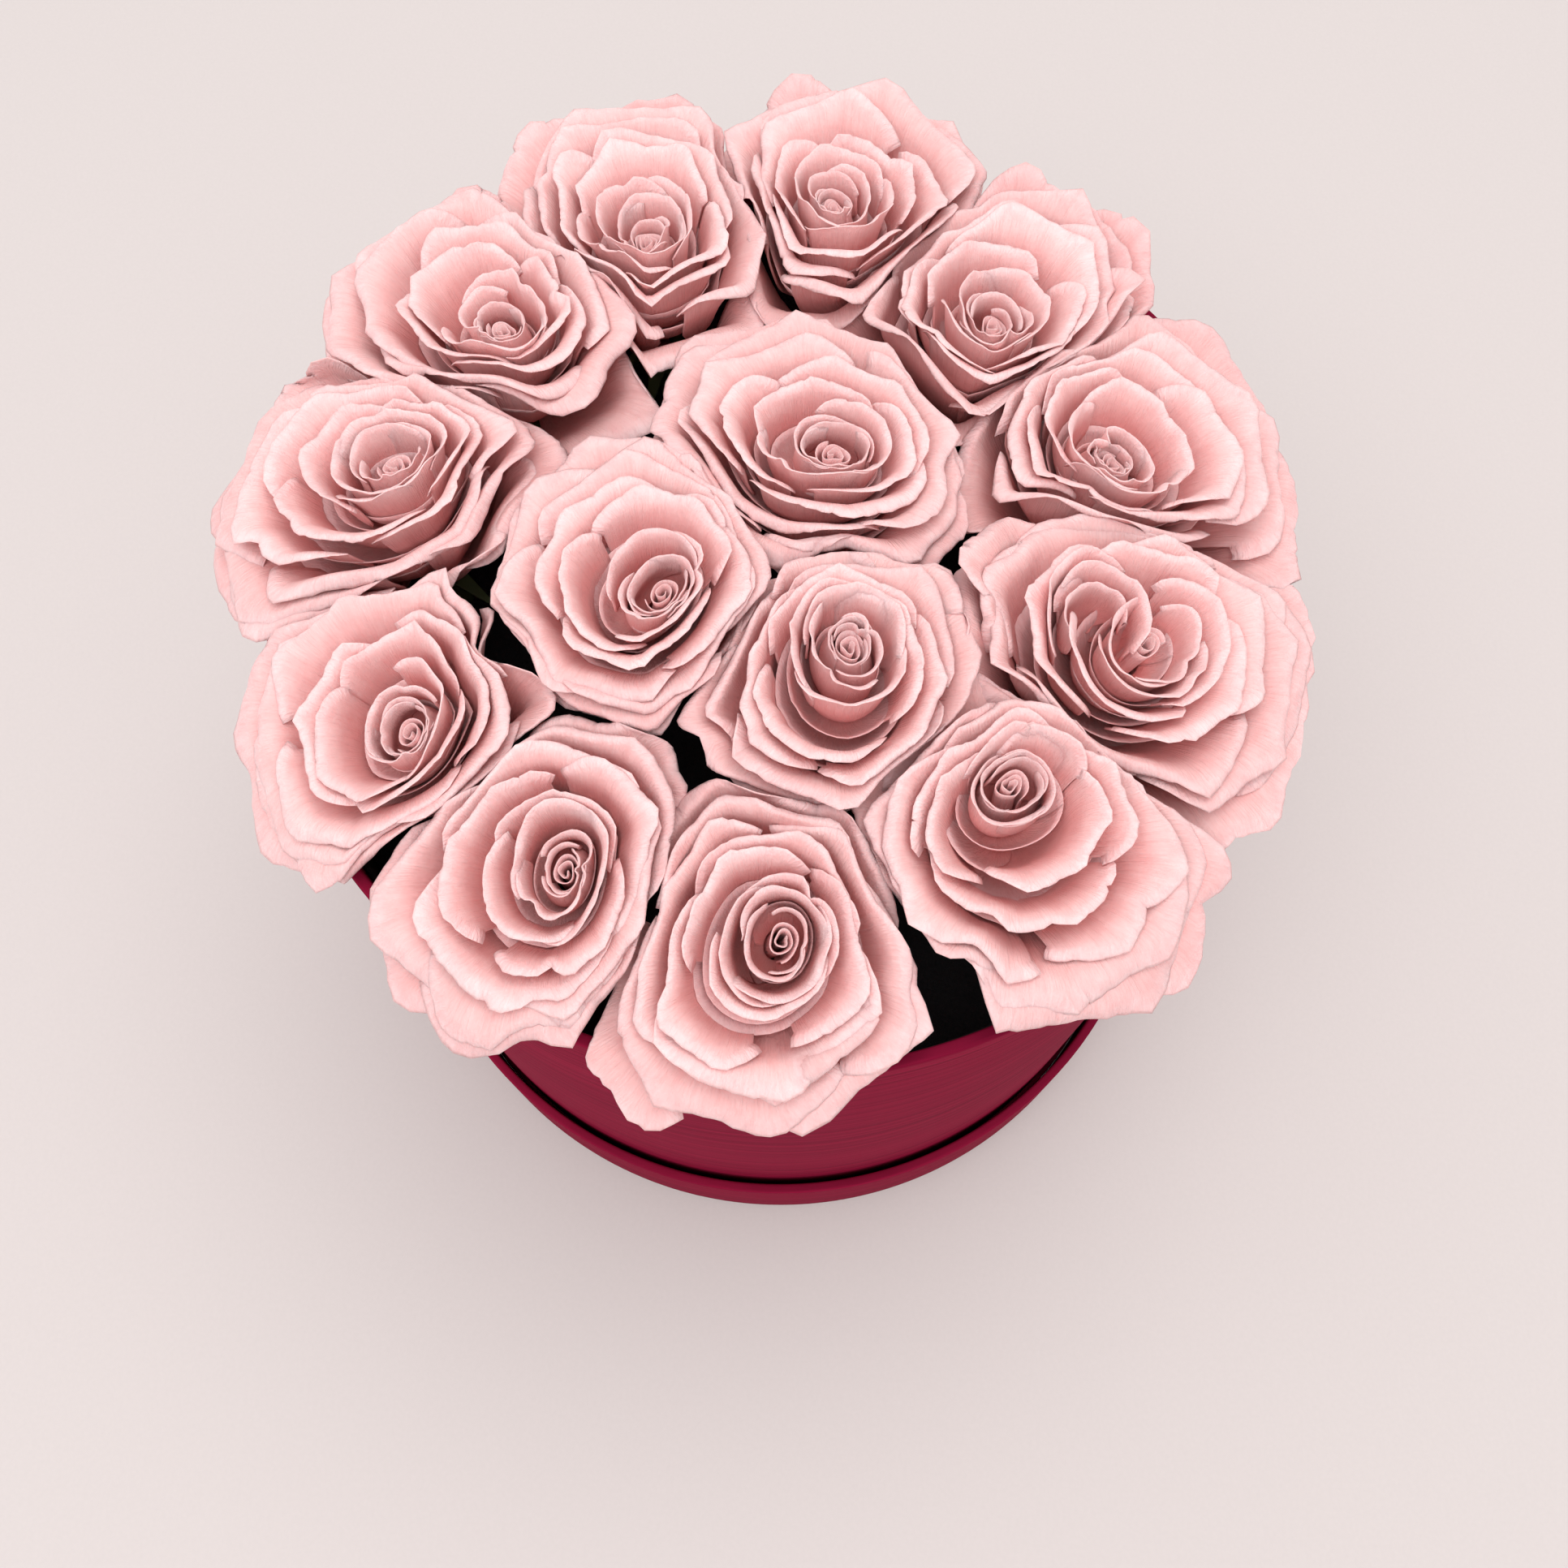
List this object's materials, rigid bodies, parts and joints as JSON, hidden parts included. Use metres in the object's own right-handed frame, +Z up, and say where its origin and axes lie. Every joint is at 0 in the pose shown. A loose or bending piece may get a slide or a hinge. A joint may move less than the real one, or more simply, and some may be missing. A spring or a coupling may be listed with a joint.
{
  "type": "flower hat box",
  "caption": "Round wrapped card hat box standing in its upturned lid, lined in black and filled with foam that holds a dome of preserved rose heads.",
  "frame": {"origin": "centre of the flat underside of the upturned lid, on the surface that the box stands on", "axes": "+Z up along the axis of the box, +Y to the side of the box away from the viewer, +X to the viewer's right"},
  "size_m": [0.214, 0.2132, 0.2025],
  "materials": {
    "crimson_wrap": "satin wrapping paper with fine streaks round the wall",
    "black_card": "matte black card",
    "dry_foam": "dry open-cell foam, near black",
    "rose_petal": "soft matte petal with fine veins",
    "rose_green": "dull preserved leaf green"
  },
  "bodies": {
    "root": {"lid_panel": "crimson_wrap", "lid_rim": "crimson_wrap", "box_wall": "crimson_wrap", "box_base": "crimson_wrap", "box_liner": "black_card", "foam_block": "dry_foam", "rose_a_bloom": "rose_petal", "rose_a_stem": "rose_green", "rose_b_bloom": "rose_petal", "rose_b_stem": "rose_green", "rose_c_bloom": "rose_petal", "rose_c_stem": "rose_green", "rose_d_bloom": "rose_petal", "rose_d_stem": "rose_green", "rose_e_bloom": "rose_petal", "rose_e_stem": "rose_green", "rose_f_bloom": "rose_petal", "rose_f_stem": "rose_green", "rose_g_bloom": "rose_petal", "rose_g_stem": "rose_green", "rose_h_bloom": "rose_petal", "rose_h_stem": "rose_green", "rose_i_bloom": "rose_petal", "rose_i_stem": "rose_green", "rose_j_bloom": "rose_petal", "rose_j_stem": "rose_green", "rose_k_bloom": "rose_petal", "rose_k_stem": "rose_green", "rose_l_bloom": "rose_petal", "rose_l_stem": "rose_green", "rose_m_bloom": "rose_petal", "rose_m_stem": "rose_green", "rose_n_bloom": "rose_petal", "rose_n_stem": "rose_green"}
  },
  "joints": []
}
